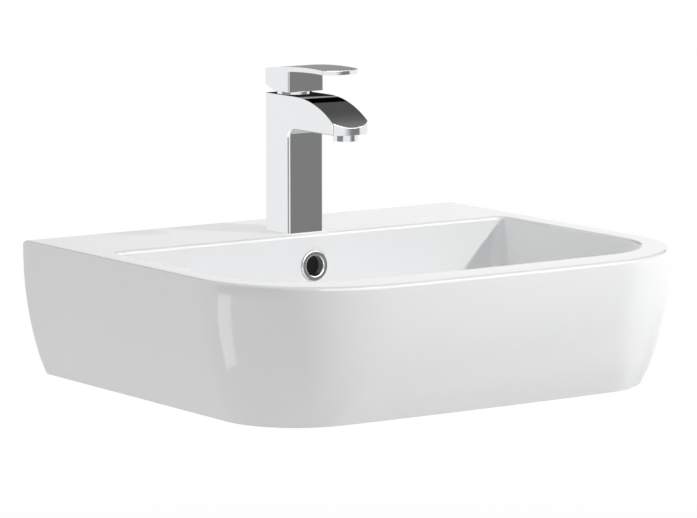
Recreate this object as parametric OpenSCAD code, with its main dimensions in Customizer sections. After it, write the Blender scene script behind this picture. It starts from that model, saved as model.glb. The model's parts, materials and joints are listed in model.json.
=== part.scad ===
// Wall-hung ceramic washbasin with an overflow, a slotted waste and a single-lever mixer tap.
// Frame: X to the right, Y towards the wall, Z up, millimetres.
// The origin lies on the wall face, midway between the two wall-fixing holes.

/* [Basin outline] */
// Width over the two sides
basin_w = 550; // [520:1:600]
// Depth from the wall to the middle of the front
basin_d = 476; // [460:1:520]
// Height of the skirt, from the rim down to its lower edge
skirt_h = 143; // [141:1:160]
// Height of the rim above the wall-fixing holes
rim_z = 65; // [50:1:80]
// Radius of the two front corners, seen from above
corner_r = 142; // [125:1:150]
// Radius of the slight bow of the front, seen from above
front_bow_r = 5000; // [2500:100:9000]
// Radius of the two upright edges at the wall
wall_edge_r = 1.5; // [1:0.5:6]
// How far each side draws in at the lower edge
side_draw = 26; // [15:0.5:30]
// How far the front draws in at the lower edge
front_draw = 47.5; // [30:0.5:54]
// How much the front corners tighten at the lower edge
corner_draw = 57; // [40:1:62]
// Upright part of the skirt below the rim
upright_h = 12.5; // [8:0.5:24]
// Rounding of the rim's outer edge
rim_edge_r = 4; // [2.5:0.5:6]
// Rounding of the rim's inner edge
bowl_edge_r = 4; // [3:0.5:6]
// Rounding of the skirt's lower edge
foot_edge_r = 3; // [1.5:0.5:4]

/* [Bowl] */
// Width of the rim along each side
side_rim = 30; // [28:0.5:40]
// Width of the rim at the middle of the front
front_rim = 47; // [42:1:56]
// Depth of the tap ledge, from the wall to the bowl
ledge_d = 131; // [128:1:140]
// Depth of the bowl at the waste
bowl_depth = 97; // [92:1:98]
// Front corner radius of the bowl
bowl_corner_r = 87; // [72:1:100]
// Back corner radius of the bowl at the rim
bowl_back_r = 8; // [5:0.5:12]
// Growth of the back corner radius per millimetre of depth
back_r_growth = 0.2; // [0.1:0.05:0.4]
// Depth where the bowl's walls begin to turn into its floor
bowl_wall_h = 50; // [47:1:52]
// How far the bowl's walls lean in by that depth
wall_lean_in = 2; // [1:0.5:4]
// Width of the turn from the walls into the floor
turn_w = 46; // [36:1:56]
// Fall of the floor towards the waste
floor_fall = 9; // [5:0.5:12]
// Distance of the waste from the wall
waste_from_wall = 270; // [260:1:285]

/* [Ceramic walls] */
// Wall of the bowl
bowl_t = 9; // [8:0.5:10]
// Wall of the skirt
skirt_t = 10; // [8:0.5:11]
// Thickness of the ledge and the rim
ledge_t = 13; // [11:0.5:14]
// Thickness of the back panel
back_t = 14; // [12:0.5:18]
// Height of the open part below the back panel
back_open_h = 42; // [30:1:50]
// Spacing of the wall-fixing holes
fixing_pitch = 280; // [240:1:300]
// Diameter of a wall-fixing hole
fixing_d = 18; // [14:0.5:20]
// Diameter of the tap hole
tap_hole_d = 35; // [33:0.5:36]
// Diameter of the waste hole
waste_hole_d = 46; // [45:0.5:48]
// Diameter of the boss below the waste hole
boss_d = 84; // [80:1:92]
// Height of the boss's lower seat
boss_seat_t = 12; // [9:0.5:12]
// Depth of the recess that takes the waste flange
flange_recess = 3; // [2.5:0.25:3.5]

/* [Overflow] */
// Depth of the overflow's centre below the rim
overflow_drop = 33.5; // [32:0.5:35]
// Diameter of the overflow hole in the ceramic
overflow_hole_d = 26; // [24:0.5:27]
// Outer diameter of the overflow ring
overflow_ring_d = 32; // [31:0.5:36]
// Clear opening of the overflow ring
overflow_open_d = 22; // [19:0.5:22]
// How far the overflow ring stands proud of the bowl's wall
overflow_proud = 2; // [1.5:0.25:3]
// Width of the overflow duct
duct_w = 46; // [36:1:50]
// Depth of the overflow duct
duct_gap = 9; // [8:0.5:10]
// Wall of the overflow duct
duct_t = 6; // [5.5:0.5:7]
// Height of the overflow chamber round the waste
chamber_h = 17; // [15:0.5:18]
// Diameter of the overflow chamber round the waste
chamber_d = 60; // [56:1:64]

/* [Waste fitting] */
// Diameter of the waste flange
waste_flange_d = 63; // [60:0.5:64]
// Outer diameter of the waste's threaded tail
tail_d = 41.9; // [41.5:0.1:42.2]
// Wall of the waste's tail
tail_t = 2.3; // [2:0.1:2.6]
// Length of the tail below its backnut
tail_out = 14; // [10:0.5:16]
// Thickness of the flange
flange_t = 2.6; // [2.2:0.1:3]
// Thickness of the seal under the flange
top_seal_t = 1.5; // [1:0.1:1.8]
// Thickness of the seal under the basin
low_seal_t = 3; // [2:0.25:4]
// Height of the backnut
backnut_h = 9; // [7:0.5:10]
// Width across the flats of the backnut
backnut_af = 52; // [50:0.5:56]
// Width of one overflow slot in the tail
slot_w = 16; // [12:0.5:18]
// Diameter of the sprung plug
plug_d = 50; // [46:0.5:51]
// Thickness of the plug's cap at its edge
plug_t = 2; // [1.5:0.1:3]
// Travel of the plug between open and closed
plug_travel = 8; // [6:0.5:9]
// Diameter of the plug's rod
plug_rod_d = 6; // [5:0.25:7]

/* [Tap body] */
// Distance of the tap's axis from the wall
tap_from_wall = 95.5; // [92:0.5:96]
// Width of the square column, the spout and the lever
column_w = 44; // [43:0.5:48]
// Height of the body's flat top above the ledge
body_h = 145; // [143:0.5:156]
// Rounding of the column's upright edges
column_edge_r = 2.5; // [1:0.25:3]
// Height of the spout's flat underside above the ledge
spout_under_z = 110.5; // [106:0.5:112]
// Fillet between column and spout
spout_fillet_r = 10; // [6:0.5:11]
// Reach of the spout's tip from the tap's axis
spout_reach = 110; // [108.5:0.5:113]
// Distance from the axis at which the spout's top begins to fall
spout_crest = 34; // [31:0.5:38]
// Radius of the spout's arched top
spout_arch_r = 120; // [115:1:135]
// Rounding of the spout tip's corners, seen from above
tip_corner_r = 3; // [2:0.5:6]
// Bow of the spout's tip, seen from above
tip_bow_r = 37; // [34:1:60]
// Distance of the aerator from the tap's axis
aerator_reach = 94.5; // [92:0.5:95.5]
// Diameter of the waterway in the spout
waterway_d = 11; // [8:0.5:11]
// Diameter of the hollow in the column's foot
foot_bore_d = 33; // [32:0.25:34]
// Height of the hollow in the column's foot
foot_bore_h = 70; // [60:1:76]
// Spacing of the two hose inlets
inlet_pitch = 15; // [14:0.5:15.5]
// Diameter of a hose inlet, at the crests of its thread
inlet_d = 9; // [8.5:0.1:9.2]
// Depth of a hose inlet
inlet_h = 14; // [10:0.5:16]

/* [Valve cartridge] */
// Diameter of the valve chamber in the body
chamber_bore_d = 35.2; // [35:0.1:36]
// Diameter of the cartridge
cartridge_d = 34.8; // [34.4:0.1:34.9]
// Wall of the cartridge's housing
housing_t = 2.4; // [2:0.1:2.6]
// Depth of the valve chamber below the body's top
valve_depth = 41; // [40:0.5:43]
// Thickness of the cartridge's base
base_t = 5; // [4:0.25:5.5]
// Thickness of one ceramic disc
disc_t = 3.5; // [3:0.25:3.5]
// Diameter of the fixed ceramic disc
fixed_disc_d = 26; // [25:0.5:28]
// Diameter of the moving ceramic disc and its carrier
moving_disc_d = 20; // [19:0.5:20]
// Height of the lever's pivot below the body's top
pivot_drop = 12; // [11.5:0.25:12.5]
// Diameter of the pivot pin
pin_d = 3; // [2.5:0.1:3.5]
// Width of the square stem
stem_w = 8; // [7:0.25:8.5]
// Distance from the pivot to the centre of the stem's ball
arm_l = 12.5; // [12.25:0.05:12.75]
// Diameter of the stem's ball
ball_d = 6; // [5.5:0.1:6.2]
// Diameter of the dome above the body
dome_d = 36.8; // [36.6:0.1:38]
// Height of the dome above the body
dome_h = 4.4; // [4:0.1:4.4]
// Steepest lift of the lever, in degrees
lift_max = 20; // [16:1:20]

/* [Lever] */
// Gap between the body's top and the lever's block
lever_gap = 3.4; // [3.2:0.1:5]
// Height of the lever's crest above the body's top
lever_crest_h = 31.8; // [31:0.1:36]
// Distance of the crest from the tap's axis
lever_crest = 60; // [54:1:66]
// Radius of the lever's arched top
lever_arch_r = 540; // [480:1:700]
// Reach of the lever's tip from the tap's axis
lever_reach = 93; // [88:0.5:98]
// Thickness of the lever's blade at its crest
blade_t = 4.8; // [4:0.1:6]
// Radius of the blade's underside
blade_under_r = 575; // [500:1:700]
// How far the rear of the block is cut away
rear_cut_l = 18; // [16:0.5:20]
// Height of that cut at the block's rear face
rear_cut_h = 6.5; // [6.2:0.1:7]
// Rounding of the block's upright edges
lever_edge_r = 1.5; // [0.5:0.25:2]
// Bow of the lever's tip, seen from above
lever_bow_r = 33; // [28:1:60]
// Diameter of the hollow under the block
hollow_d = 39.4; // [39:0.1:40]
// Height of the hollow's roof above the body's top
hollow_h = 20; // [18:0.5:21]

/* [Aerator] */
// Diameter of the aerator's collar
aerator_d = 25.5; // [25:0.1:27]
// Height of the collar below the spout
aerator_h = 6.8; // [5:0.1:8]
// Diameter of the aerator's thread
aerator_thread_d = 24; // [22:0.1:24]
// Height of the thread inside the spout
aerator_thread_h = 6.5; // [5:0.5:7]

/* [Fits] */
// Radial gap of a turning or sliding fit
run_gap = 0.06; // [0.03:0.01:0.09]
// Radial gap where a piece is screwed or pushed into its seat
seat_gap = 0.1; // [0.05:0.01:0.15]
// Gap between pieces that move past each other
free_gap = 0.3; // [0.2:0.05:0.4]

/* [Hidden] */
$fn = 64;
// Small overlap that keeps cutting shapes clear of the faces they cut
cut = 1;

// Points of one ring: from the middle of the back, round the right side, to the middle of the front
back_steps = 3;
back_corner_steps = 7;
side_steps = 2;
front_corner_steps = 12;
front_steps = 4;
ring_n = 2 * (back_steps + back_corner_steps + side_steps + front_corner_steps + front_steps);

// Half of a closed outline with straight sides, two corner radii and a bowed front.
// The corner arc touches the side and the bow, so the outline has no kink.
function bow_centre(front, bow) = front + bow;
function corner_y(half, front, r, bow) =
    bow_centre(front, bow) - sqrt(pow(bow - r, 2) - pow(half - r, 2));
function corner_turn(half, r, bow) = 90 - asin((half - r) / (bow - r));
function half_outline(half, back, front, back_r, r, bow) =
    let (cy = corner_y(half, front, r, bow), turn = corner_turn(half, r, bow))
    concat(
        [for (i = [0:back_steps - 1]) [(half - back_r) * i / back_steps, back]],
        [for (i = [0:back_corner_steps - 1]) let (a = 90 - 90 * i / back_corner_steps)
            [half - back_r + back_r * cos(a), back - back_r + back_r * sin(a)]],
        [for (i = [0:side_steps - 1])
            [half, back - back_r + (cy - back + back_r) * i / side_steps]],
        [for (i = [0:front_corner_steps - 1]) let (a = -turn * i / front_corner_steps)
            [half - r + r * cos(a), cy + r * sin(a)]],
        [for (i = [0:front_steps]) let (a = (90 - turn) * (1 - i / front_steps))
            [bow * sin(a), bow_centre(front, bow) - bow * cos(a)]]);
function whole_outline(right) =
    concat(right, [for (i = [len(right) - 2:-1:1]) [-right[i][0], right[i][1]]]);
function outline(half, back, front, back_r, r, bow = front_bow_r) =
    whole_outline(half_outline(half, back, front, back_r, r, bow));
function at_height(points, z) = [for (p = points) [p[0], p[1], z]];

// The skirt's outline at a depth below the rim, moved in by e
function skirt_s(d) = max(0, (d - upright_h) / (skirt_h - upright_h));
function skirt_ring(d, e, back_e, z) =
    let (s2 = pow(skirt_s(d), 2))
    at_height(outline(
        basin_w / 2 - side_draw * s2 - e,
        -back_e,
        -(basin_d - front_draw * s2 - e),
        max(1, wall_edge_r - e),
        corner_r - corner_draw * s2 - e), z);

// The bowl's outline at a depth below the rim, moved in by e and then out by t
bowl_half = basin_w / 2 - side_rim;
bowl_front = basin_d - front_rim;
corner_growth_h = 15;
corner_stop = bowl_wall_h + corner_growth_h;
function bowl_points(d, e, t) = outline(
    bowl_half - e + t,
    -(ledge_d + e - t),
    -(bowl_front - e + t),
    bowl_back_r + back_r_growth * min(d, corner_stop) + t,
    bowl_corner_r + t);
function bowl_ring(d, e, t, z) = at_height(bowl_points(d, e, t), z);
function wall_in(d) = wall_lean_in * (d - bowl_edge_r) / (bowl_wall_h - bowl_edge_r);

// The turn from wall to floor is a quarter ellipse, and the floor falls to the waste in an S-curve
turn_h = bowl_depth - floor_fall - bowl_wall_h;
function turn_in(a) = wall_lean_in + turn_w * (1 - cos(a));
function turn_d(a) = bowl_wall_h + turn_h * sin(a);
floor_in = turn_in(90);
floor_d = turn_d(90);
function floor_ring(w, r, drop) =
    let (pts = bowl_points(floor_d, floor_in, 0), c = [0, -waste_from_wall])
    at_height(
        [for (p = pts) let (v = p - c) p * (1 - w) + (c + v / norm(v) * r) * w],
        -(floor_d + floor_fall * (1 - cos(180 * w)) / 2 + drop));

flange_clear = 1;
floor_flat_r = waste_flange_d / 2 - flange_clear;
core_r = waste_hole_d / 4;
rim_turns = 4;
skirt_turns = 7;
floor_turns = 7;
floor_rings = 5;
under_turns = 5;
foot_turns = 2;
inner_turns = 5;

basin_rings = concat(
    // Outside, from the lower edge up to the rim
    [for (i = [0:foot_turns]) let (a = 90 * i / foot_turns)
        skirt_ring(skirt_h, foot_edge_r * (1 - sin(a)), foot_edge_r * (1 - sin(a)),
            -skirt_h + foot_edge_r * (1 - cos(a)))],
    [for (i = [1:skirt_turns]) let (d = skirt_h - (skirt_h - upright_h) * i / skirt_turns)
        skirt_ring(d, 0, 0, -d)],
    [for (i = [0:rim_turns]) let (a = 90 * i / rim_turns)
        skirt_ring(0, rim_edge_r * (1 - cos(a)), rim_edge_r * (1 - cos(a)), -rim_edge_r * (1 - sin(a)))],
    // Over the rim and down into the bowl
    [for (i = [0:rim_turns]) let (a = 90 * i / rim_turns)
        bowl_ring(0, 0, bowl_edge_r * (1 - sin(a)), -bowl_edge_r * (1 - cos(a)))],
    [let (d = (bowl_edge_r + bowl_wall_h) / 2) bowl_ring(d, wall_in(d), 0, -d)],
    [for (i = [0:floor_turns]) let (a = 90 * i / floor_turns)
        bowl_ring(turn_d(a), turn_in(a), 0, -turn_d(a))],
    [for (i = [1:floor_rings]) floor_ring(i / floor_rings, floor_flat_r, 0)],
    // Through the waste hole's core and back out under the bowl
    [floor_ring(1, core_r, 0), floor_ring(1, core_r, bowl_t)],
    [for (i = [floor_rings:-1:1]) floor_ring(i / floor_rings, floor_flat_r, bowl_t)],
    [for (i = [under_turns:-1:0]) let (a = 90 * i / under_turns)
        bowl_ring(turn_d(a), turn_in(a), bowl_t * cos(a), -turn_d(a) - bowl_t * sin(a))],
    // Under the rim and down inside the skirt
    [bowl_ring(ledge_t, wall_in(ledge_t), bowl_t, -ledge_t)],
    [for (i = [0:inner_turns]) let (d = ledge_t + (skirt_h - ledge_t) * i / inner_turns)
        skirt_ring(d, skirt_t, back_t, -d)]);

// A surface that joins each ring to the next and the last to the first
module ring_body(rings) {
    n = len(rings[0]);
    m = len(rings);
    polyhedron(
        points = [for (r = rings) for (p = r) p],
        faces = [for (j = [0:m - 1]) for (i = [0:n - 1])
            let (k = (j + 1) % m, l = (i + 1) % n)
            for (f = [[j * n + i, j * n + l, k * n + i], [j * n + l, k * n + l, k * n + i]]) f]);
}

// Places
module at_rim() { translate([0, 0, rim_z]) children(); }
module at_waste() { translate([0, -waste_from_wall, rim_z]) children(); }
module at_tap() { translate([0, -tap_from_wall, rim_z]) children(); }
module both_sides(x) { for (s = [-1, 1]) translate([s * x, 0, 0]) children(); }

// A profile in the Y-Z plane, drawn as [distance in front of the origin, height], w wide along X
module side_profile(w) {
    rotate([90, 0, -90]) linear_extrude(w, center = true) children();
}

// Rounded square of exact arcs
module round_square(w, d, r) {
    square([w - 2 * r, d], center = true);
    square([w, d - 2 * r], center = true);
    for (x = [-1, 1], y = [-1, 1]) translate([x * (w / 2 - r), y * (d / 2 - r)]) circle(r);
}

// Plan of a bar from back to front with a bowed, round-cornered front end, in exact arcs
module bow_end(half, back, front, r, bow) {
    cy = corner_y(half, front, r, bow);
    far = 2 * half;
    a = asin((half - r) / (bow - r));
    translate([-half, cy]) square([2 * half, back - cy]);
    for (x = [-1, 1]) translate([x * (half - r), cy]) circle(r);
    intersection() {
        translate([0, bow_centre(front, bow)]) circle(bow, $fn = 360);
        polygon([
            [-(half - r), cy], [half - r, cy],
            [half - r + far * sin(a), cy - far * cos(a)],
            [-(half - r) - far * sin(a), cy - far * cos(a)]]);
    }
}

module ring(outer_d, inner_d, h) {
    difference() {
        cylinder(d = outer_d, h = h);
        translate([0, 0, -cut]) cylinder(d = inner_d, h = h + 2 * cut);
    }
}

module hexagon(af, h) { cylinder(d = af / cos(30), h = h, $fn = 6); }

// Overflow: a duct behind the bowl's back wall and under its floor, to the chamber round the waste
overflow_tilt = atan(wall_lean_in / (bowl_wall_h - bowl_edge_r));
overflow_y = ledge_d + wall_in(overflow_drop);
duct_cover = 5;
duct_roof = ledge_t + duct_cover;
duct_steps = 8;
chamber_top = bowl_depth + bowl_t + flange_recess;
chamber_low = chamber_top + chamber_h;
boss_low = chamber_low + boss_seat_t;
function turn_point(a, e) = [
    ledge_d + wall_lean_in + turn_w - (turn_w + e) * cos(a),
    -bowl_wall_h - (turn_h + e) * sin(a)];
function duct_line(top, e, low) = concat(
    [[ledge_d - e + wall_in(top), -top]],
    [for (i = [0:duct_steps]) turn_point(90 * i / duct_steps, e)],
    [[waste_from_wall - chamber_d / 4, -low]]);
function reversed(v) = [for (i = [len(v) - 1:-1:0]) v[i]];
duct_out_e = bowl_t + duct_gap;

module at_overflow() {
    translate([0, -overflow_y, -overflow_drop]) rotate([90 - overflow_tilt, 0, 0]) children();
}

module duct_wall() {
    side_profile(duct_w + 2 * duct_t) polygon(concat(
        duct_line(ledge_t - cut, duct_out_e + duct_t - cut, chamber_low + duct_t - cut),
        reversed(duct_line(ledge_t - cut, bowl_t / 2, bowl_depth + bowl_t / 2))));
}

module duct_space() {
    side_profile(duct_w) polygon(concat(
        [[ledge_d - bowl_t - duct_gap / 2, -duct_roof]],
        [for (i = [0:duct_steps]) turn_point(90 * i / duct_steps, duct_out_e)],
        [[waste_from_wall - chamber_d / 4, -chamber_low]],
        reversed(duct_line(duct_roof, bowl_t, chamber_top))));
}

module basin() {
    color("white") at_rim() difference() {
        union() {
            ring_body(basin_rings);
            duct_wall();
            translate([0, -waste_from_wall, -boss_low])
                cylinder(d = boss_d, h = boss_low - bowl_depth - bowl_t / 2);
        }
        duct_space();
        at_overflow() translate([0, 0, -bowl_t - duct_gap / 2])
            cylinder(d = overflow_hole_d, h = bowl_t + duct_gap / 2 + cut);
        translate([0, -waste_from_wall, 0]) {
            translate([0, 0, -boss_low - cut]) cylinder(d = waste_hole_d, h = boss_low);
            translate([0, 0, -chamber_low]) cylinder(d = chamber_d, h = chamber_h);
            translate([0, 0, -bowl_depth - flange_recess])
                cylinder(d = waste_flange_d + 2 * flange_clear, h = flange_recess + cut);
        }
        translate([0, -tap_from_wall, -ledge_t - cut]) cylinder(d = tap_hole_d, h = ledge_t + 2 * cut);
        both_sides(fixing_pitch / 2) translate([0, cut, -rim_z]) rotate([90, 0, 0])
            cylinder(d = fixing_d, h = back_t + 2 * cut);
        back_half = basin_w / 2 - side_draw - skirt_t - foot_edge_r;
        translate([-back_half, -back_t - cut, -skirt_h - cut])
            cube([2 * back_half, back_t + 2 * cut, back_open_h + cut]);
    }
}

sleeve_short = 1;
module overflow_ring() {
    hole_r = overflow_open_d / 2;
    ring_r = overflow_ring_d / 2;
    edge = overflow_proud / 2;
    sleeve_r = overflow_hole_d / 2 - seat_gap;
    sleeve_l = bowl_t - sleeve_short;
    color("silver") at_rim() at_overflow() rotate_extrude() {
        translate([hole_r, -sleeve_l]) square([sleeve_r - hole_r, sleeve_l + edge]);
        translate([hole_r, 0]) square([ring_r - hole_r, edge]);
        translate([hole_r + edge, 0]) square([ring_r - hole_r - 2 * edge, overflow_proud]);
        for (x = [hole_r + edge, ring_r - edge]) translate([x, edge]) circle(edge);
    }
}

// Waste: heights are measured from the rim
seat_z = -bowl_depth - flange_recess;
flange_z = seat_z + top_seal_t;
flange_top = flange_z + flange_t;
throat_r = tail_d / 2 - tail_t;
dish_margin = 1;
dish_h = 1.4;
dish_taper = 0.6;
throat_edge = 1.35;
dish_r = plug_d / 2 + dish_margin;
dish_z = flange_top - dish_h;
slot_margin = 1.5;
web_h = 6;
web_t = 3;
web_step = 0.5;
hub_d = 16;
web_z = -chamber_low - slot_margin - web_h;
tail_z = -boss_low - low_seal_t - backnut_h - tail_out;
relief_w = 1.5;
relief_deep = 0.8;
relief_z = tail_z + tail_out - relief_w;
shank_d = 10;
cap_rise = 2;
plug_hub_d = 14;
plug_hub_h = 6;
plug_seal_h = 2;
rod_seat = 5;
rod_play = 1;
press_play = 1.5;
rod_z = web_z + web_h + rod_seat;
plug_z = dish_z + free_gap;
cartridge_top = plug_z - plug_hub_h - press_play;
seal_margin = 1;
low_seal_d = 62;

module waste_body() {
    edge = flange_t / 3;
    r = waste_flange_d / 2;
    relief_r = tail_d / 2 - relief_deep;
    color("silver") at_waste() {
        difference() {
            // A relief groove ends the trap's thread just below the backnut
            rotate_extrude() polygon([
                [throat_r, tail_z], [tail_d / 2, tail_z], [tail_d / 2, relief_z], [relief_r, relief_z],
                [relief_r, relief_z + relief_w], [tail_d / 2, relief_z + relief_w],
                [tail_d / 2, flange_z], [r, flange_z],
                [r, flange_top - edge], [r - edge, flange_top], [dish_r, flange_top],
                [dish_r - dish_taper, dish_z], [throat_r + throat_edge, dish_z],
                [throat_r, dish_z - throat_edge]]);
            for (a = [0, 90]) rotate(a)
                translate([-tail_d, -slot_w / 2, -chamber_low + slot_margin])
                    cube([2 * tail_d, slot_w, chamber_h - 2 * slot_margin]);
        }
        difference() {
            translate([0, 0, web_z]) union() {
                cylinder(d = hub_d, h = web_h);
                for (a = [45, 135]) rotate(a)
                    translate([-throat_r - tail_t / 2, -web_t / 2, web_step])
                        cube([2 * throat_r + tail_t, web_t, web_h - 2 * web_step]);
            }
            translate([0, 0, web_z - cut]) cylinder(d = shank_d, h = web_h + 2 * cut);
        }
    }
}

module waste_top_seal() {
    color("dimgray") at_waste() translate([0, 0, seat_z])
        ring(waste_flange_d - 2 * seal_margin, tail_d + 2 * seat_gap, top_seal_t);
}

module waste_lower_seal() {
    color("dimgray") at_waste() translate([0, 0, -boss_low - low_seal_t])
        ring(low_seal_d, tail_d + 2 * seat_gap, low_seal_t);
}

module waste_backnut() {
    color("goldenrod") at_waste() translate([0, 0, -boss_low - low_seal_t - backnut_h]) difference() {
        hexagon(backnut_af, backnut_h);
        translate([0, 0, -cut]) cylinder(d = tail_d + 2 * seat_gap, h = backnut_h + 2 * cut);
    }
}

module click_cartridge() {
    color("gainsboro") at_waste() difference() {
        union() {
            translate([0, 0, web_z + web_h]) cylinder(d = hub_d, h = cartridge_top - web_z - web_h);
            translate([0, 0, web_z]) cylinder(d = shank_d - 2 * seat_gap, h = web_h + cut);
        }
        translate([0, 0, rod_z]) cylinder(d = plug_rod_d + 2 * run_gap, h = cartridge_top - rod_z + cut);
    }
}

// The plug is drawn closed and then raised to its open rest position
module waste_plug() {
    r = plug_d / 2;
    dome_r = (r * r + cap_rise * cap_rise) / (2 * cap_rise);
    color("silver") at_waste() translate([0, 0, plug_travel]) {
        translate([0, 0, plug_z]) cylinder(r = r, h = plug_t);
        translate([0, 0, plug_z + plug_t]) rotate_extrude() intersection() {
            translate([0, cap_rise - dome_r]) circle(dome_r, $fn = 180);
            square([r, cap_rise]);
        }
        translate([0, 0, plug_z - plug_hub_h]) cylinder(d = plug_hub_d, h = plug_hub_h + plug_t / 2);
        translate([0, 0, rod_z + rod_play]) cylinder(d = plug_rod_d, h = plug_z - plug_hub_h - rod_z);
    }
}

// Its flank follows the edge of the throat
module plug_seal() {
    top_r = throat_r + throat_edge - free_gap;
    color("dimgray") at_waste() translate([0, 0, plug_travel + plug_z - plug_seal_h]) difference() {
        cylinder(r1 = top_r - plug_seal_h, r2 = top_r, h = plug_seal_h);
        translate([0, 0, -cut]) cylinder(d = plug_hub_d + seat_gap, h = plug_seal_h + 2 * cut);
    }
}

// Tap: heights are measured from the ledge, and distances forward from the tap's axis
stud_d = 6;
stud_back = 12.5;
stud_boss_d = 10;
stud_boss_z = 8;
stud_top = 40;
stud_play = 0.5;
stud_out = 32;
stud_low = -ledge_t - stud_out;
groove_out_d = 41.6;
groove_in_d = 36.8;
gasket_t = 1.5;
inlet_port_d = 7;
port_pitch = 12;
port_d = 5.2;
port_y = -3;
inlet_y = -4;
waterway_floor = 2;
waterway_z = spout_under_z + waterway_d / 2 + waterway_floor;
outlet_d = 19;
valve_floor = body_h - valve_depth;
nut_thread_d = 36;
nut_h = 4;
nut_seat_z = body_h - nut_h;
fillet_cover = 6;

module spout_block() {
    block_h = body_h - spout_under_z;
    intersection() {
        side_profile(column_w) difference() {
            translate([0, spout_under_z]) square([spout_reach + cut, block_h]);
            difference() {
                translate([spout_crest, spout_under_z]) square([spout_reach, block_h + cut]);
                translate([spout_crest, body_h - spout_arch_r]) circle(spout_arch_r, $fn = 360);
            }
        }
        translate([0, 0, spout_under_z - cut]) linear_extrude(block_h + 2 * cut)
            bow_end(column_w / 2, 0, -spout_reach, tip_corner_r, tip_bow_r);
        // The lower edges carry the column's rounding forward
        rotate([90, 0, 0]) linear_extrude(spout_reach + cut) {
            translate([-column_w / 2, spout_under_z + column_edge_r])
                square([column_w, block_h - column_edge_r]);
            translate([-column_w / 2 + column_edge_r, spout_under_z])
                square([column_w - 2 * column_edge_r, block_h]);
            for (x = [-1, 1])
                translate([x * (column_w / 2 - column_edge_r), spout_under_z + column_edge_r])
                    circle(column_edge_r);
        }
    }
}

// The fillet under the spout, with the same rounded edges, turned about an axis along X
module spout_fillet() {
    translate([0, -column_w / 2 - spout_fillet_r, spout_under_z - spout_fillet_r])
        rotate([0, -90, 0]) rotate_extrude(angle = 90) {
            translate([spout_fillet_r + column_edge_r, -column_w / 2])
                square([fillet_cover - column_edge_r, column_w]);
            translate([spout_fillet_r, -column_w / 2 + column_edge_r])
                square([fillet_cover, column_w - 2 * column_edge_r]);
            for (x = [-1, 1])
                translate([spout_fillet_r + column_edge_r, x * (column_w / 2 - column_edge_r)])
                    circle(column_edge_r);
        }
}

module tap_body() {
    color("silver") at_tap() difference() {
        union() {
            difference() {
                linear_extrude(body_h) round_square(column_w, column_w, column_edge_r);
                translate([0, 0, -cut]) cylinder(d = foot_bore_d, h = foot_bore_h + cut);
            }
            spout_block();
            spout_fillet();
            translate([0, stud_back, stud_boss_z])
                cylinder(d = stud_boss_d, h = foot_bore_h - stud_boss_z + cut);
        }
        translate([0, 0, -cut]) ring(groove_out_d, groove_in_d, gasket_t + cut);
        translate([0, stud_back, stud_boss_z - cut])
            cylinder(d = stud_d + seat_gap, h = stud_top - stud_boss_z + cut);
        translate([0, inlet_y, foot_bore_h - cut])
            both_sides(inlet_pitch / 2) cylinder(d = inlet_d, h = inlet_h + cut);
        translate([0, port_y, foot_bore_h + inlet_h - 2 * cut])
            both_sides(port_pitch / 2)
                cylinder(d = port_d, h = valve_floor - foot_bore_h - inlet_h + 3 * cut);
        translate([0, 0, valve_floor]) cylinder(d = chamber_bore_d, h = valve_depth + cut);
        translate([0, 0, nut_seat_z]) cylinder(d = nut_thread_d, h = body_h - nut_seat_z + cut);
        translate([0, 0, waterway_z]) rotate([90, 0, 0])
            cylinder(d = waterway_d, h = aerator_reach);
        translate([0, -aerator_reach, spout_under_z - cut]) {
            cylinder(d = aerator_thread_d + seat_gap, h = aerator_thread_h + washer_t + cut);
            cylinder(d = outlet_d, h = waterway_z - spout_under_z + cut);
        }
    }
}

module tap_gasket() {
    color("dimgray") at_tap()
        ring(groove_out_d - 2 * seat_gap, groove_in_d + 2 * seat_gap, gasket_t);
}

module tap_stud() {
    color("lightgray") at_tap() translate([0, stud_back, stud_low])
        cylinder(d = stud_d, h = stud_top - stud_low - stud_play);
}

// A plate round the hoses: open to the front, with one hole for the stud
plate_d = 47;
plate_front = 10.5;
plate_slot = 26;
plate_slot_back = 5.5;
rubber_t = 2;
plate_t = 3;
module horseshoe(t) {
    difference() {
        intersection() {
            cylinder(d = plate_d, h = t);
            translate([-plate_d / 2, -plate_front, 0]) cube([plate_d, plate_d, t]);
        }
        translate([-plate_slot / 2, -plate_d, -cut])
            cube([plate_slot, plate_d - plate_slot / 2 + plate_slot_back, t + 2 * cut]);
        translate([0, plate_slot_back - plate_slot / 2, -cut]) cylinder(d = plate_slot, h = t + 2 * cut);
        translate([0, stud_back, -cut]) cylinder(d = stud_d + 2 * seat_gap, h = t + 2 * cut);
    }
}

module clamp_rubber() {
    color("dimgray") at_tap() translate([0, 0, -ledge_t - rubber_t]) horseshoe(rubber_t);
}

module clamp_plate() {
    color("lightgray") at_tap() translate([0, 0, -ledge_t - rubber_t - plate_t]) horseshoe(plate_t);
}

module clamp_nut() {
    long_nut_h = 14;
    nut_af = 10;
    color("goldenrod") at_tap() translate([0, stud_back, -ledge_t - rubber_t - plate_t - long_nut_h])
        difference() {
            hexagon(nut_af, long_nut_h);
            translate([0, 0, -cut]) cylinder(d = stud_d + 2 * seat_gap, h = long_nut_h + 2 * cut);
        }
}

// Cartridge, from the bottom up
seal_in_d = 6;
seal_out_d = 9;
seal_t = 1.2;
base_top = valve_floor + base_t;
disc_z = base_top + disc_t;
carrier_z = disc_z + disc_t;
pivot_z = body_h - pivot_drop;
ball_z = pivot_z - arm_l;
carrier_up = 1.5;
carrier_top = ball_z + carrier_up;
guide_z = carrier_top + free_gap;
shoulder_up = 4.2;
guide_shoulder = pivot_z + shoulder_up;
housing_top = nut_seat_z;
neck_d = 21.5;
neck_up = 1.5;
neck_top = housing_top + neck_up;
housing_in_d = cartridge_d - 2 * housing_t;
window_d = 5;
window_up = 1;
mix_port_d = 5;
mix_port_y = 4;

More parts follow.
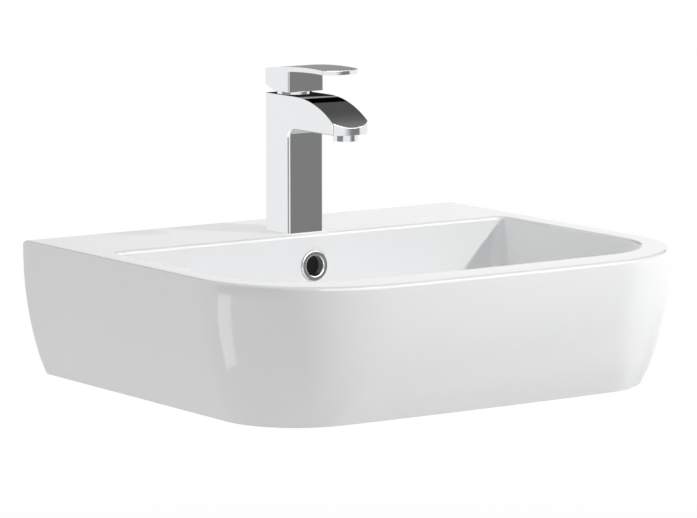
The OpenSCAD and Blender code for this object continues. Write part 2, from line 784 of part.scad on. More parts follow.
module cartridge_base() {
    color("gainsboro") at_tap() difference() {
        translate([0, 0, valve_floor]) cylinder(d = cartridge_d, h = base_t);
        translate([0, port_y, valve_floor - cut]) both_sides(port_pitch / 2) {
            cylinder(d = port_d, h = base_t + 2 * cut);
            cylinder(d = seal_out_d, h = seal_t + cut);
        }
        translate([0, mix_port_y, base_top - base_t / 2]) {
            cylinder(d = mix_port_d, h = base_t);
            rotate([90, 0, 0]) translate([0, 0, -cartridge_d]) cylinder(d = base_t / 2, h = cartridge_d);
        }
    }
}

module inlet_seals() {
    color("dimgray") at_tap() translate([0, port_y, valve_floor])
        both_sides(port_pitch / 2) ring(seal_out_d - 2 * seat_gap, seal_in_d, seal_t);
}

module cartridge_housing() {
    color("gainsboro") at_tap() difference() {
        translate([0, 0, base_top]) cylinder(d = cartridge_d, h = housing_top - base_top);
        translate([0, 0, base_top - cut])
            cylinder(d = housing_in_d, h = guide_shoulder + seat_gap - base_top + cut);
        translate([0, 0, guide_shoulder])
            cylinder(d = neck_d + 2 * run_gap, h = housing_top - guide_shoulder + cut);
        for (a = [0:45:315]) rotate(a) translate([0, 0, disc_z + window_up]) rotate([90, 0, 0])
            cylinder(d = window_d, h = cartridge_d);
    }
}

module fixed_disc() {
    color("lavender") at_tap() difference() {
        translate([0, 0, base_top]) cylinder(d = fixed_disc_d, h = disc_t);
        translate([0, port_y, base_top - cut]) both_sides(port_pitch / 2)
            cylinder(d = port_d, h = disc_t + 2 * cut);
        translate([0, mix_port_y, base_top - cut]) cylinder(d = mix_port_d, h = disc_t + 2 * cut);
    }
}

// The pocket in its underside joins the inlets to the outlet when the disc has moved forward
module moving_disc() {
    pocket_d = 5.6;
    pocket_gap = 0.8;
    pocket_x = port_pitch / 2 - 1;
    color("lavender") at_tap() difference() {
        translate([0, 0, disc_z]) cylinder(d = moving_disc_d, h = disc_t);
        translate([0, port_y + port_d / 2 + pocket_d / 2 + pocket_gap, disc_z - cut]) {
            both_sides(pocket_x) cylinder(d = pocket_d, h = disc_t / 2 + cut);
            translate([-pocket_x, -pocket_d / 2, 0]) cube([2 * pocket_x, pocket_d, disc_t / 2 + cut]);
        }
    }
}

module disc_carrier() {
    pocket_z = ball_z - ball_d / 2 - free_gap;
    color("whitesmoke") at_tap() difference() {
        translate([0, 0, carrier_z]) cylinder(d = moving_disc_d, h = carrier_top - carrier_z);
        translate([0, 0, pocket_z]) cylinder(d = ball_d + 3 * free_gap, h = carrier_top - pocket_z + cut);
    }
}

// The slot lets the stem lean back by the full lift
pin_fit = 0.02;
pin_short = 4;
slot_reserve = 4;
slot_front = (guide_shoulder - ball_z) * tan(lift_max) / 2 + slot_reserve;
slot_rear = (neck_top - pivot_z) * tan(lift_max) + stem_w / 2 / cos(lift_max) + 2 * free_gap;
module stem_guide() {
    color("whitesmoke") at_tap() difference() {
        union() {
            translate([0, 0, guide_z])
                cylinder(d = housing_in_d - 2 * run_gap, h = guide_shoulder - guide_z);
            translate([0, 0, guide_z]) cylinder(d = neck_d, h = neck_top - guide_z);
        }
        translate([-stem_w / 2 - free_gap, -slot_front, guide_z - cut])
            cube([stem_w + 2 * free_gap, slot_front + slot_rear, neck_top - guide_z + 2 * cut]);
        translate([0, 0, pivot_z]) rotate([0, 90, 0])
            cylinder(d = pin_d + pin_fit, h = housing_in_d, center = true);
    }
}

module pivot_pin() {
    color("lightgray") at_tap() translate([0, 0, pivot_z]) rotate([0, 90, 0])
        cylinder(d = pin_d, h = housing_in_d - pin_short, center = true);
}

stem_drop = 4.5;
stem_up = 3;
stem_shoulder = pivot_z - stem_drop;
stem_top = body_h + hollow_h + stem_up;
arm_d = 4.4;
module valve_stem() {
    color("lightgray") at_tap() difference() {
        union() {
            translate([-stem_w / 2, -stem_w / 2, stem_shoulder])
                cube([stem_w, stem_w, stem_top - stem_shoulder]);
            translate([0, 0, ball_z]) cylinder(d = arm_d, h = stem_shoulder - ball_z + cut);
            translate([0, 0, ball_z]) sphere(d = ball_d);
        }
        translate([0, 0, pivot_z]) rotate([0, 90, 0])
            cylinder(d = pin_d + 2 * run_gap, h = 2 * stem_w, center = true);
    }
}

nut_rise = 2.8;
nut_top_d = 33;
nut_open_d = 24;
module cartridge_nut() {
    color("goldenrod") at_tap() difference() {
        union() {
            translate([0, 0, nut_seat_z])
                cylinder(d = nut_thread_d - 2 * seat_gap, h = body_h - nut_seat_z);
            translate([0, 0, nut_seat_z]) cylinder(d = nut_top_d, h = body_h - nut_seat_z + nut_rise);
        }
        translate([0, 0, nut_seat_z - cut])
            cylinder(d = nut_open_d, h = body_h - nut_seat_z + nut_rise + 2 * cut);
    }
}

module cartridge_dome() {
    dome_play = 0.2;
    inside_h = nut_rise + dome_play;
    shoulder = 2;
    color("silver") at_tap() translate([0, 0, body_h]) rotate_extrude() difference() {
        union() {
            square([dome_d / 2, dome_h - shoulder]);
            square([dome_d / 2 - shoulder, dome_h]);
            translate([dome_d / 2 - shoulder, dome_h - shoulder]) circle(shoulder);
        }
        square([nut_open_d / 2, dome_h]);
        square([nut_top_d / 2 + seat_gap, inside_h]);
    }
}

// Lever: its arched blade runs over a square block that hides the stem
boss_r = 8;
boss_up = 10;
lever_boss_z = body_h + boss_up;
screw_up = 14.5;
screw_z = body_h + screw_up;
screw_d = 5;
index_d = 6.5;
under_shift = 8;
module lever_plan() {
    half = column_w / 2;
    centre = lever_reach - lever_bow_r;
    rear = half - lever_edge_r;
    translate([-half, -centre]) square([column_w, centre + rear]);
    translate([-rear, -centre]) square([2 * rear, centre + half]);
    for (x = [-1, 1]) translate([x * rear, rear]) circle(lever_edge_r);
    intersection() {
        translate([0, -centre]) circle(lever_bow_r, $fn = 180);
        translate([-half, -lever_reach - cut]) square([column_w, lever_bow_r + cut]);
    }
}

module lever_side() {
    low = body_h + lever_gap;
    crest = body_h + lever_crest_h;
    half = column_w / 2;
    intersection() {
        translate([lever_crest, crest - lever_arch_r]) circle(lever_arch_r, $fn = 720);
        difference() {
            translate([-half, low]) square([half + lever_reach + cut, crest - low]);
            polygon([[-half, low], [-half + rear_cut_l, low], [-half, low + rear_cut_h]]);
            intersection() {
                translate([half, low]) square([lever_reach, crest - low]);
                translate([lever_crest + under_shift, crest - blade_t - blade_under_r])
                    circle(blade_under_r, $fn = 720);
            }
        }
    }
}

// What the rounding takes off the block's two front edges, up to the blade
module block_edges() {
    half = column_w / 2;
    under = lever_crest + under_shift - half;
    top = body_h + lever_crest_h - blade_t - blade_under_r + sqrt(pow(blade_under_r, 2) - pow(under, 2));
    translate([0, 0, body_h]) linear_extrude(top - body_h)
        for (x = [-1, 1]) translate([x * (half - lever_edge_r), lever_edge_r - half]) difference() {
            translate([x > 0 ? 0 : -lever_edge_r - cut, -lever_edge_r - cut])
                square(lever_edge_r + cut);
            circle(lever_edge_r);
        }
}

module lever_handle() {
    color("silver") at_tap() difference() {
        intersection() {
            side_profile(column_w) lever_side();
            translate([0, 0, body_h]) linear_extrude(lever_crest_h + cut) lever_plan();
        }
        block_edges();
        difference() {
            translate([0, 0, body_h]) cylinder(d = hollow_d, h = hollow_h);
            translate([0, 0, lever_boss_z]) cylinder(r = boss_r, h = hollow_h);
        }
        translate([-stem_w / 2 - seat_gap / 2, -stem_w / 2 - seat_gap / 2, body_h])
            cube([stem_w + seat_gap, stem_w + seat_gap, stem_top - body_h + seat_gap]);
        translate([0, 0, screw_z]) rotate([-90, 0, 0]) {
            cylinder(d = screw_d + seat_gap, h = hollow_d / 2);
            cylinder(d = index_d + seat_gap, h = column_w);
        }
    }
}

module grub_screw() {
    screw_l = 8;
    key_af = 2.5;
    key_depth = 3;
    color("dimgray") at_tap() translate([0, stem_w / 2 + seat_gap, screw_z]) rotate([-90, 0, 0])
        difference() {
        cylinder(d = screw_d, h = screw_l);
        translate([0, 0, screw_l - key_depth]) hexagon(key_af, key_depth + cut);
    }
}

module index_plug() {
    wall = (column_w - hollow_d) / 2;
    head_lip = 0.5;
    head_t = 0.8;
    color("crimson") at_tap() translate([0, hollow_d / 2, screw_z]) rotate([-90, 0, 0]) {
        cylinder(d = index_d, h = wall);
        translate([0, 0, wall]) cylinder(d = index_d + 2 * head_lip, h = head_t);
    }
}

// Aerator: a collar with a thread, an insert that mixes air into the stream, and a washer
washer_t = 1.5;
washer_open_d = 14;
insert_d = 20;
module aerator_housing() {
    color("silver") at_tap() translate([0, -aerator_reach, spout_under_z]) difference() {
        union() {
            translate([0, 0, -aerator_h]) cylinder(d = aerator_d, h = aerator_h);
            cylinder(d = aerator_thread_d, h = aerator_thread_h);
        }
        translate([0, 0, -aerator_h - cut])
            cylinder(d = insert_d + 2 * seat_gap, h = aerator_h + aerator_thread_h + 2 * cut);
    }
}

module aerator_insert() {
    cell = 2.2;
    cell_wall = 0.6;
    cells = 3;
    mesh_t = 2;
    insert_up = 1;
    insert_wall = 2;
    color("whitesmoke") at_tap() translate([0, -aerator_reach, spout_under_z - aerator_h + insert_up])
        difference() {
        cylinder(d = insert_d, h = aerator_h + aerator_thread_h - insert_up);
        translate([0, 0, mesh_t])
            cylinder(d = insert_d - 2 * insert_wall, h = aerator_h + aerator_thread_h);
        for (x = [-cells:cells], y = [-cells:cells])
            if (norm([x, y]) * cell < insert_d / 2 - insert_wall - cell_wall)
            translate([x * cell, y * cell, -cut])
                cylinder(d = cell - cell_wall, h = mesh_t + 2 * cut, $fn = 16);
    }
}

module aerator_washer() {
    color("dimgray") at_tap() translate([0, -aerator_reach, spout_under_z + aerator_thread_h])
        ring(aerator_thread_d - 2 * seat_gap, washer_open_d, washer_t);
}

basin();
overflow_ring();
waste_body();
waste_top_seal();
waste_lower_seal();
waste_backnut();
click_cartridge();
waste_plug();
plug_seal();
tap_body();
tap_gasket();
tap_stud();
clamp_rubber();
clamp_plate();
clamp_nut();
cartridge_base();
inlet_seals();
cartridge_housing();
fixed_disc();
moving_disc();
disc_carrier();
stem_guide();
valve_stem();
pivot_pin();
cartridge_nut();
cartridge_dome();
lever_handle();
grub_screw();
index_plug();
aerator_housing();
aerator_insert();
aerator_washer();
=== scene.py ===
# %% [markdown]
# A wall-hung washbasin with a single-lever mixer tap. The solids of the basin, the waste and the tap are
# already built and packed, so this lesson only gives them their surfaces: glazed ceramic, polished chrome,
# and the rubber, brass, steel and plastic underneath. Everything is in metres, with the wall at y = 0,
# the room towards -y and z up.

import json
import math

import bmesh
import bpy
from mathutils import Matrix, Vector


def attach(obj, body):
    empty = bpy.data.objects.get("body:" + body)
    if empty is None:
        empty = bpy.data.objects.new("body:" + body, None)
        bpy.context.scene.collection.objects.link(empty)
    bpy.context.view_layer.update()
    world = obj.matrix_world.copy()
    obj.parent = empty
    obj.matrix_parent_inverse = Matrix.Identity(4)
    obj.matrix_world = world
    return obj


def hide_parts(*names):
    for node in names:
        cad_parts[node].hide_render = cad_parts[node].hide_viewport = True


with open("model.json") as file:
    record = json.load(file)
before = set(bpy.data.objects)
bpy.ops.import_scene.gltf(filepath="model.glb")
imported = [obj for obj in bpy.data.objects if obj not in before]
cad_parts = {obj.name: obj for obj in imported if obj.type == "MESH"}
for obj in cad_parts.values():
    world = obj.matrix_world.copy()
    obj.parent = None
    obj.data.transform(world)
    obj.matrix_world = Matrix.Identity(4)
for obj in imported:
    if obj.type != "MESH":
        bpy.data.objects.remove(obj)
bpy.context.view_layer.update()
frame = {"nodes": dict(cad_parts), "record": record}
nodes = frame["nodes"]

# %% [markdown]
# The camera comes first, because every later choice is judged through it. A basin like this is usually
# photographed from far away with a long lens, which keeps its upright edges nearly parallel. Its place and
# its focal length were worked out from the basin's own straight edges, so they are given as numbers.

# %% Place the camera
PHOTO_WIDTH, FOCAL_PIXELS = 697, 4375.94
SENSOR_MM = 36
TURN, TIP = 34.7813, 8.0933

lens = bpy.data.cameras.new("Camera")
lens.sensor_width = SENSOR_MM
lens.lens = FOCAL_PIXELS * SENSOR_MM / PHOTO_WIDTH
lens.clip_end = 50
camera = bpy.data.objects.new("Camera", lens)
camera.location = (-2.55608, -3.87548, 0.68308)
camera.rotation_euler = (math.radians(90 - TIP), 0, math.radians(-TURN))
bpy.context.scene.collection.objects.link(camera)
bpy.context.scene.camera = camera
print("lens of", round(lens.lens, 1), "mm")

# %% [markdown]
# A material is a small network of nodes, and most of it is arithmetic on textures. Clicking nodes together
# by script gets long, so one class wraps a socket: adding or multiplying two wires makes the Math node that
# does it, and node() makes any other kind.

# %% Shader sums as Python sums
class Wire:
    """One output in a node tree. Sums on wires add Math nodes, and node() adds any other."""

    def __init__(self, tree, socket=None):
        self.tree, self.socket = tree, socket

    def node(self, kind, settings=None, values=None, out=0):
        made = self.tree.nodes.new("ShaderNode" + kind)
        for name, setting in (settings or {}).items():
            if name == "stops":
                spare = made.color_ramp.elements
                while len(spare) < len(setting):
                    spare.new(1)
                for stop, (place, colour) in zip(spare, setting):
                    stop.position, stop.color = place, (*colour, 1)
            else:
                setattr(made, name, setting)
        for name, value in (values or {}).items():
            if isinstance(value, Wire):
                self.tree.links.new(value.socket, made.inputs[name])
            else:
                made.inputs[name].default_value = value
        return Wire(self.tree, made.outputs[out] if made.outputs else None)

    def other(self, name):
        return Wire(self.tree, self.socket.node.outputs[name])

    def maths(self, operation, *terms):
        return self.node("Math", {"operation": operation}, dict(enumerate(terms)))

    def __add__(self, other): return self.maths("ADD", self, other)
    def __radd__(self, other): return self.maths("ADD", other, self)
    def __sub__(self, other): return self.maths("SUBTRACT", self, other)
    def __rsub__(self, other): return self.maths("SUBTRACT", other, self)
    def __mul__(self, other): return self.maths("MULTIPLY", self, other)
    def __rmul__(self, other): return self.maths("MULTIPLY", other, self)

    def larger(self, other):
        return self.maths("MAXIMUM", self, other)

    def ramp_up(self, low, high):
        """0 below low, 1 above high and a soft S between them."""
        return self.node("MapRange", {"interpolation_type": "SMOOTHSTEP"}, {0: self, 1: low, 2: high})

    def inside(self, low, high, soft):
        """1 between low and high and 0 beyond them, with edges of the width soft."""
        return self.ramp_up(low - soft, low + soft) * (1 - self.ramp_up(high - soft, high + soft))

    def between(self, first, second):
        """The colour first where this wire is 0 and second where it is 1."""
        return self.node("Mix", {"data_type": "RGBA"}, {0: self, 6: first, 7: second}, out=2)


def rgb(r, g, b):
    return (r, g, b, 1)


def new_surface(name):
    """A material with an empty tree, and a wire to start its sums from."""
    surface = bpy.data.materials.new(name)
    surface.use_nodes = True
    surface.node_tree.nodes.clear()
    return surface, Wire(surface.node_tree)


def place_of(start):
    """Where a point of a piece lies, in metres, before any joint moves it."""
    return start.node("TexCoord").other("Object")


def close_surface(start, values):
    """Ends a material in one Principled shader."""
    shader = start.node("BsdfPrincipled", {}, values)
    start.node("OutputMaterial", {}, {"Surface": shader})


def grain(place, scale, detail=2):
    """Cloudy noise between 0 and 1, with scale cells to the metre."""
    return place.node("TexNoise", {}, {"Vector": place, "Scale": scale, "Detail": detail, "Roughness": 0.5})


def bumped(height, strength, depth, edge, samples=4):
    """A fine bump, on edges that are rounded in the shading alone by the radius edge."""
    rounded = height.node("Bevel", {"samples": samples}, {"Radius": edge})
    return height.node("Bump", {}, {"Strength": strength, "Distance": depth, "Height": height,
                                    "Normal": rounded})


print("wires can do:", [name for name in vars(Wire) if not name.startswith("_")])

# %% [markdown]
# Glazed ceramic is white clay under a layer of glass. The glass is what the eye sees: it is very smooth, but
# it ran while it was molten, so it has a slow ripple and the finest orange peel. The basin stands on its
# lower edge in the kiln and its back goes to the wall, so the glaze is wiped off there and the bare clay
# shows, matt and a little creamy. A height and a depth are enough to find those two places. The overflow
# duct behind the bowl's back wall is raw clay too. It gets no light, so a box paints its shade, nearly black.

# %% Make the glazed ceramic
# FOOT_Z and WALL_FACE_Y find the bare clay; the three boxes below hold the painted shade of the overflow duct
FOOT_Z, WALL_FACE_Y = (-0.0771, -0.0764), (-0.0009, -0.0003)
SHADE_BOX_X, SHADE_BOX_Y, SHADE_BOX_Z = (-0.0235, 0.0235), (-0.1290, -0.1120), (-0.03, 0.052)


def glazed_ceramic():
    surface, start = new_surface("Glazed ceramic")
    place = place_of(start)
    along = place.node("SeparateXYZ", {}, {0: place})
    height, depth = along.other("Z"), along.other("Y")
    bare = (1 - height.ramp_up(*FOOT_Z)).larger(depth.ramp_up(*WALL_FACE_Y))
    # painted shade: a box over the unlit overflow duct behind the back wall, coloured nearly black
    painted_duct_shade = along.inside(*SHADE_BOX_X, 0.0002) * depth.inside(*SHADE_BOX_Y, 0.0002)
    painted_duct_shade = painted_duct_shade * height.inside(*SHADE_BOX_Z, 0.001)
    cloud = grain(place, 7, 3)
    pores = grain(place, 1400)
    white = cloud.between(rgb(0.815, 0.82, 0.826), rgb(0.835, 0.838, 0.842))
    clay = pores.between(rgb(0.66, 0.63, 0.58), rgb(0.78, 0.76, 0.72))
    peel = grain(place, 420, 1)
    ripple = grain(place, 26)
    relief = ripple * 0.9 + peel * 0.06 + bare * pores * 0.5
    bump = start.node("Bump", {}, {"Strength": 0.12, "Distance": 0.0006, "Height": relief})
    close_surface(start, {
        "Base Color": painted_duct_shade.between(bare.between(white, clay), rgb(0.035, 0.034, 0.03)),
        "Roughness": (0.05 + cloud * 0.03).larger(bare * 0.75),
        "Normal": bump})
    return surface


ceramic = glazed_ceramic()
print(ceramic.name, "has", len(ceramic.node_tree.nodes), "nodes")

# %% [markdown]
# Chrome is a mirror, so its look is mostly what it reflects. Two things keep it from looking like a
# computer's mirror: every edge is slightly rounded by polishing, and the polish leaves faint wiping lines
# and a haze of dried water, which change the roughness most. The Bevel node rounds an edge in the shading
# alone, which is enough for a radius of less than a millimetre.

# %% Make the chrome
TAP_EDGE, SMALL_EDGE = 0.0007, 0.0003
RING_INSIDE_Y = -0.1326


def polished_chrome(name, edge, inside_wall=None):
    """Chrome with edges rounded by edge; past the depth inside_wall it is rougher, with painted shade."""
    surface, start = new_surface(name)
    place = place_of(start)
    wiped = start.node("Mapping", {}, {"Vector": place, "Scale": (900, 900, 25)})
    lines = grain(wiped, 1)
    haze = grain(place, 60, 3)
    tint = haze.between(rgb(0.80, 0.81, 0.825), rgb(0.83, 0.835, 0.845))
    bump = bumped(haze * 0.7 + lines * 0.1, 0.03, 0.0002, edge, samples=6)
    rough = 0.035 + haze.ramp_up(0.45, 0.8) * 0.05 + lines.ramp_up(0.6, 0.8) * 0.03
    if inside_wall is not None:
        depth = place.node("SeparateXYZ", {}, {0: place}).other("Y")
        # painted shade: inside the sleeve the colour is nearly black, standing in for the dark duct it would
        # mirror
        painted_shade_inside = depth.ramp_up(inside_wall - 0.0005, inside_wall)
        tint, rough = painted_shade_inside.between(tint, rgb(0.05, 0.05, 0.052)), rough + painted_shade_inside * 0.25
    close_surface(start, {"Base Color": tint, "Metallic": 1.0, "Normal": bump, "Roughness": rough})
    return surface


chrome = polished_chrome("Polished chrome", TAP_EDGE)
fine_chrome = polished_chrome("Chrome of small parts", SMALL_EDGE)
ring_chrome = polished_chrome("Chrome of the overflow ring", SMALL_EDGE, RING_INSIDE_Y)
print("chrome edges of", round(TAP_EDGE * 1000, 1), "and", round(SMALL_EDGE * 1000, 1), "mm")

# %% [markdown]
# The parts under the basin and inside the tap are plainer. Brass is turned on a lathe, which leaves rings
# round its axis, steel is rolled or drawn, which leaves lines along it, and moulded rubber and plastic are
# finely grained. Each is a function of the same kind, with its own texture and its own scale.

# %% Make the turned, drawn and moulded finishes
def turned_brass():
    surface, start = new_surface("Turned brass")
    place = place_of(start)
    stain = grain(place, 90, 4)
    rings = start.node("TexWave", {"wave_type": "BANDS", "bands_direction": "Z"},
                       {"Vector": place, "Scale": 420, "Distortion": 0.6, "Detail": 1})
    colour = stain.between(rgb(0.62, 0.44, 0.19), rgb(0.80, 0.63, 0.33))
    close_surface(start, {"Base Color": colour, "Metallic": 1.0, "Roughness": 0.24 + stain * 0.18,
                          "Normal": bumped(rings, 0.15, 0.0001, 0.0004)})
    return surface


def drawn_steel():
    surface, start = new_surface("Drawn steel")
    place = place_of(start)
    drawn = start.node("Mapping", {}, {"Vector": place, "Scale": (2200, 2200, 60)})
    lines = grain(drawn, 1, 3)
    patch = grain(place, 120, 3)
    colour = patch.between(rgb(0.50, 0.51, 0.53), rgb(0.66, 0.67, 0.68))
    close_surface(start, {"Base Color": colour, "Metallic": 1.0, "Roughness": 0.27 + lines * 0.2,
                          "Normal": bumped(lines, 0.2, 0.0001, SMALL_EDGE)})
    return surface


def moulded(name, dark, light, rough, scale, relief):
    surface, start = new_surface(name)
    place = place_of(start)
    grainy = grain(place, scale, 3)
    cloud = grain(place, 45)
    close_surface(start, {"Base Color": cloud.between(dark, light), "Roughness": rough + grainy * 0.15,
                          "Normal": bumped(grainy, relief, 0.0002, SMALL_EDGE)})
    return surface


brass = turned_brass()
steel = drawn_steel()
rubber = moulded("Moulded rubber", rgb(0.018, 0.018, 0.019), rgb(0.034, 0.033, 0.033),
                 rough=0.52, scale=900, relief=0.35)
grey_plastic = moulded("Grey plastic", rgb(0.26, 0.27, 0.28), rgb(0.33, 0.34, 0.35),
                       rough=0.34, scale=1100, relief=0.12)
white_plastic = moulded("White plastic", rgb(0.70, 0.70, 0.68), rgb(0.78, 0.78, 0.76),
                        rough=0.30, scale=1100, relief=0.10)
disc_ceramic = moulded("Lapped ceramic", rgb(0.74, 0.72, 0.66), rgb(0.82, 0.80, 0.76),
                       rough=0.12, scale=2500, relief=0.05)
print("plainer finishes:", [made.name for made in (brass, steel, rubber, grey_plastic, white_plastic,
                                                   disc_ceramic)])

# %% [markdown]
# The little plug at the back of the lever shows which way is hot: its left half is red and its right half
# is blue. One test on x does it, with a sharp ramp so that the halves meet in a clean line.

# %% Make the hot and cold plug
HALF_SEAM = 0.00004


def hot_and_cold():
    surface, start = new_surface("Red and blue plastic")
    place = place_of(start)
    side = place.node("SeparateXYZ", {}, {0: place}).ramp_up(-HALF_SEAM, HALF_SEAM)
    fine = grain(place, 1500)
    red, blue = rgb(0.62, 0.02, 0.03), rgb(0.02, 0.10, 0.50)
    close_surface(start, {"Base Color": side.between(red, blue), "Roughness": 0.2 + fine * 0.12,
                          "Normal": bumped(fine, 0.08, 0.0001, SMALL_EDGE)})
    return surface


index_plastic = hot_and_cold()
print("red and blue meet over", round(2000 * HALF_SEAM, 2), "mm")

# %% [markdown]
# A solid comes in as flat triangles. On a curved glaze that would show as facets, so the basin gets a skin:
# a copy whose doubled points are merged, whose shading runs smoothly over gentle angles and breaks at real
# edges, and whose large faces pull the shading harder than the small ones beside them. The skin then stands
# for the solid. The same helper serves the tap and the fittings. No part of the basin or the tap is seen by
# mirrored rays: glaze and chrome then show the room alone, as they do when each piece is lit and
# photographed by itself, and no dark image of the tap lies across the rim.

# %% Smooth skins
MERGE, SLIVER = 2e-6, 1e-6
GLAZE_ANGLE, CHROME_ANGLE = 32, 28


def skin_of(node, name, surface, body, angle):
    """A smoothly shaded copy of a solid that is shown in its place, with sharp edges above angle."""
    mesh = nodes[node].data.copy()
    mesh.name = name
    shape = bmesh.new()
    shape.from_mesh(mesh)
    bmesh.ops.remove_doubles(shape, verts=shape.verts, dist=MERGE)
    bmesh.ops.dissolve_degenerate(shape, edges=shape.edges, dist=SLIVER)
    bmesh.ops.recalc_face_normals(shape, faces=shape.faces)
    shape.to_mesh(mesh)
    shape.free()
    mesh.attributes.remove(mesh.attributes["custom_normal"])
    mesh.materials.clear()
    mesh.materials.append(surface)
    mesh.polygons.foreach_set("use_smooth", [True] * len(mesh.polygons))
    mesh.set_sharp_from_angle(angle=math.radians(angle))
    skin = bpy.data.objects.new(name, mesh)
    bpy.context.scene.collection.objects.link(skin)
    weigh = skin.modifiers.new("Weigh the normals", "WEIGHTED_NORMAL")
    weigh.keep_sharp = True
    skin.visible_glossy = False
    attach(skin, body)
    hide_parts(node)
    return skin


basin_skin = skin_of("basin", "basin_glaze", ceramic, "basin_unit", GLAZE_ANGLE)
print("basin skin:", len(basin_skin.data.polygons), "faces")

# %% [markdown]
# The tap's body, its lever, the waste and the small turned parts get skins too. They are made of flats and
# true arcs, so a slightly lower angle keeps their real edges crisp.

# %% Skins of the chrome parts
chrome_parts = [("tap_body", chrome, "basin_unit"), ("overflow_ring", ring_chrome, "basin_unit"),
                ("waste_body", chrome, "basin_unit"), ("cartridge_dome", fine_chrome, "basin_unit"),
                ("aerator_housing", fine_chrome, "basin_unit"), ("waste_plug", chrome, "plug"),
                ("lever_handle", chrome, "lever")]
for node, surface, body in chrome_parts:
    skin = skin_of(node, node + "_chrome", surface, body, CHROME_ANGLE)
print("chrome skins:", len(chrome_parts))

# %% [markdown]
# Everything that keeps its solid gets its finish by name. The record of the model lists a finish slot for
# each node, so the table below turns slots into materials and no node can be forgotten.

# %% Give every other solid its finish
finishes = {"glazed_ceramic": ceramic, "chrome": chrome, "steel": steel, "brass": brass,
            "black_rubber": rubber, "grey_plastic": grey_plastic, "white_plastic": white_plastic,
            "valve_ceramic": disc_ceramic, "red_blue_plastic": index_plastic}
for part in frame["record"]["subparts"]:
    data = nodes[part["node"]].data
    data.materials.clear()
    data.materials.append(finishes[part["material_slot"]])
    nodes[part["node"]].visible_glossy = False

# %% [markdown]
# The studio is a white room, and chrome shows it like a mirror. A picture of a room would do that, but a
# few bands of bearing and rise are enough and easier to change. Both are in degrees, with the bearing 0 to
# the right, 90 to the wall and -90 into the room. The low room is white, with a dark gap in front, a dimmer
# stretch at the right back, and a soft shade that the basin's right flank and its underside mirror. The
# high room is dim on the right, with a black band across it. The left is dark from just below eye level up.
# One wide window high in front draws the thin bright lines along every rounded edge, and a low bright strip
# at the left back is mirrored as the upright streak on the basin's front left corner. Only mirrored rays
# see all this. The camera sees plain white, and matt surfaces get an even light that is a little stronger
# from the white wall behind than from the room in front, and from below than from above.

# %% Hang the room round the basin
EVEN_LEVEL, FROM_WALL, FROM_ABOVE = 0.73, 0.2, -0.12


def studio_world():
    world = bpy.data.worlds.new("White studio")
    world.use_nodes = True
    world.node_tree.nodes.clear()
    start = Wire(world.node_tree)
    way = start.node("TexCoord").other("Generated")
    parts = way.node("SeparateXYZ", {}, {0: way})
    height = parts.other("Z")
    bearing = start.maths("ARCTAN2", parts.other("Y"), parts.other("X")) * math.degrees(1)
    rise = start.maths("ARCSINE", height) * math.degrees(1)

    gap = bearing.ramp_up(-96, -60) * (1 - bearing.ramp_up(-36, -28)) * 0.76
    underside = (1 - rise.ramp_up(-45, -35)) * bearing.inside(-80, 80, 6) * 0.4
    flank = (1 - rise.ramp_up(-22, -8.6)) * bearing.inside(8, 100, 14) * 0.36
    right_back = bearing.inside(58, 88, 5) * 0.22
    low_room = 1 - gap.larger(underside.larger(flank)) - right_back

    black = rise.inside(12.5, 30.5, 0.7)
    dim = (1 - black) * (0.24 - bearing.ramp_up(0, 38) * 0.15)
    high_room = 1 - bearing.inside(-66, 92, 4) * (1 - dim)

    left = start.maths("ABSOLUTE", bearing).ramp_up(144, 152) * rise.ramp_up(-10.6, -9) * 0.72
    window = bearing.inside(-122, -22, 4) * rise.inside(16, 72, 4) * 4.5
    strip = bearing.inside(147, 161, 0.5) * rise.inside(-27, -9.5, 0.5) * 1.9
    walls = low_room + rise.ramp_up(9.5, 13) * (high_room - low_room)
    room = walls * (1 - left) + window + strip

    even = EVEN_LEVEL + parts.other("Y") * FROM_WALL + height * FROM_ABOVE
    seen = start.node("LightPath").other("Is Camera Ray")
    mirrored = seen.other("Is Glossy Ray") + seen.other("Is Transmission Ray")
    strength = even + seen * (1 - even) + mirrored * (room - even)
    light = start.node("Background", {}, {"Color": rgb(1, 1, 1), "Strength": strength})
    start.node("OutputWorld", {}, {"Surface": light})
    bpy.context.scene.world = world


studio_world()
print("even light of", EVEN_LEVEL, "on matt surfaces")

# %% [markdown]
# Two lamps shape the basin. The key lamp is small and stands to the front right, so the right rim throws a
# clear shadow on the bowl's back wall. A soft box overhead keeps the rim and the ledge light. Both are left
# out of mirrored rays, because the room has its own window.

# %% Set the lamps
AIMED_AT = Vector((0, -0.25, 0.05))


def soft_box(name, towards, away, side, power):
    """A square lamp that looks at the basin from the direction towards."""
    lamp = bpy.data.lights.new(name, "AREA")
    lamp.shape, lamp.size, lamp.energy = "SQUARE", side, power
    held = bpy.data.objects.new(name, lamp)
    aim = Vector(towards).normalized()
    held.location = AIMED_AT + aim * away
    held.rotation_euler = aim.to_track_quat("Z", "Y").to_euler()
    held.visible_camera = held.visible_glossy = False
    bpy.context.scene.collection.objects.link(held)
    print(name, "lamp:", power, "W,", side, "m wide,", away, "m away")


soft_box("Key", (0.565, -0.67, 0.48), away=3.2, side=0.16, power=50)
soft_box("Overhead", (0.35, 0.1, 1), away=3.0, side=2.0, power=8)

# %% [markdown]
# The top of the lever, the top of the body and the ledge lie equally flat, so all three mirror the same low
# part of the room. In a studio, cards give each its own tone. A grey one behind the tap is high enough for
# the lever alone. A small black one close behind the body darkens the gap under the lever and the root of
# the spout. The ledge sees neither and stays white. The cards are hidden from every ray but mirrored ones.

# %% Stand two cards behind the tap
TAP_MIDDLE, CARD_BEARING = Vector((0, -0.13, 0)), 56.6


def plain_mesh(name, corners, surface):
    """One flat face through corners."""
    mesh = bpy.data.meshes.new(name)
    mesh.from_pydata(corners, [], [range(len(corners))])
    mesh.materials.append(surface)
    flat = bpy.data.objects.new(name, mesh)
    bpy.context.scene.collection.objects.link(flat)
    return flat


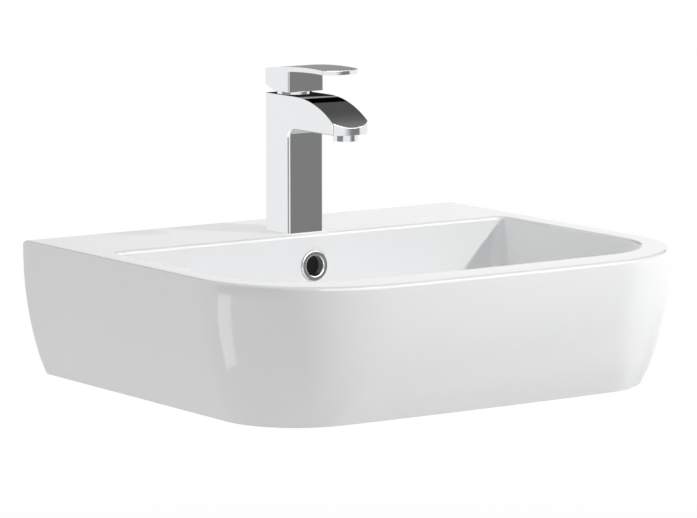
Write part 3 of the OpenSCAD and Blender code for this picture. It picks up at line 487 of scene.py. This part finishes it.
def card(name, tone, distance, half_width, low, high):
    """An upright card, distance behind the middle of the tap, from the height low to the height high."""
    surface, start = new_surface(name)
    glow = start.node("Emission", {}, {"Color": rgb(tone, tone, tone), "Strength": 1.0})
    start.node("OutputMaterial", {}, {"Surface": glow})
    turned = math.radians(CARD_BEARING)
    away = Vector((math.cos(turned), math.sin(turned), 0))
    side = Vector((-away.y, away.x, 0)) * half_width
    middle = TAP_MIDDLE + away * distance
    foot, head = Vector((0, 0, low)), Vector((0, 0, high))
    stood = plain_mesh(name, [middle - side + foot, middle + side + foot, middle + side + head,
                              middle - side + head], surface)
    stood.visible_camera = stood.visible_diffuse = stood.visible_shadow = stood.visible_transmission = False


card("Grey_card", tone=0.33, distance=0.3, half_width=0.16, low=0.205, high=0.310)
card("Black_card", tone=0.015, distance=0.05, half_width=0.05, low=0.193, high=0.2215)
print("cards face the bearing", CARD_BEARING - 180)

# %% [markdown]
# The floor lies where it would be under a basin hung at the usual height, 850 mm below the rim. It is pale
# and takes the basin's soft shadow. The camera sees it most of the way to white, and towards its edge it
# turns into the white of the room, so that no line shows where it ends.

# %% Lay the floor
RIM_Z, HUNG_AT = 0.065, 0.85
FLOOR_RADIUS, FLOOR_SIDES = 4.5, 96
WHITENED = 0.72


def pale_floor():
    surface, start = new_surface("Pale floor")
    place = place_of(start)
    cloud = grain(place, 3)
    pale = cloud.between(rgb(0.79, 0.79, 0.79), rgb(0.81, 0.81, 0.81))
    shader = start.node("BsdfPrincipled", {}, {"Base Color": pale, "Roughness": 0.7})
    white = start.node("Emission", {}, {"Color": rgb(1, 1, 1), "Strength": 1.0})
    out = start.node("VectorMath", {"operation": "LENGTH"}, {0: place}).other("Value")
    camera_ray = start.node("LightPath").other("Is Camera Ray")
    seen = camera_ray * (WHITENED + out.ramp_up(1.6, 3.2) * (1 - WHITENED))
    mixed = start.node("MixShader", {}, {0: seen, 1: shader, 2: white})
    start.node("OutputMaterial", {}, {"Surface": mixed})
    turns = [2 * math.pi * i / FLOOR_SIDES for i in range(FLOOR_SIDES)]
    edge = [(FLOOR_RADIUS * math.cos(a), FLOOR_RADIUS * math.sin(a), 0) for a in turns]
    floor = plain_mesh("Floor", edge, surface)
    floor.location = (AIMED_AT.x, AIMED_AT.y, RIM_Z - HUNG_AT)
    floor.visible_glossy = False


pale_floor()
print("floor at", round(RIM_Z - HUNG_AT, 3))
bpy.context.scene.view_settings.view_transform = "Standard"

# %% [markdown] That is the whole scene.
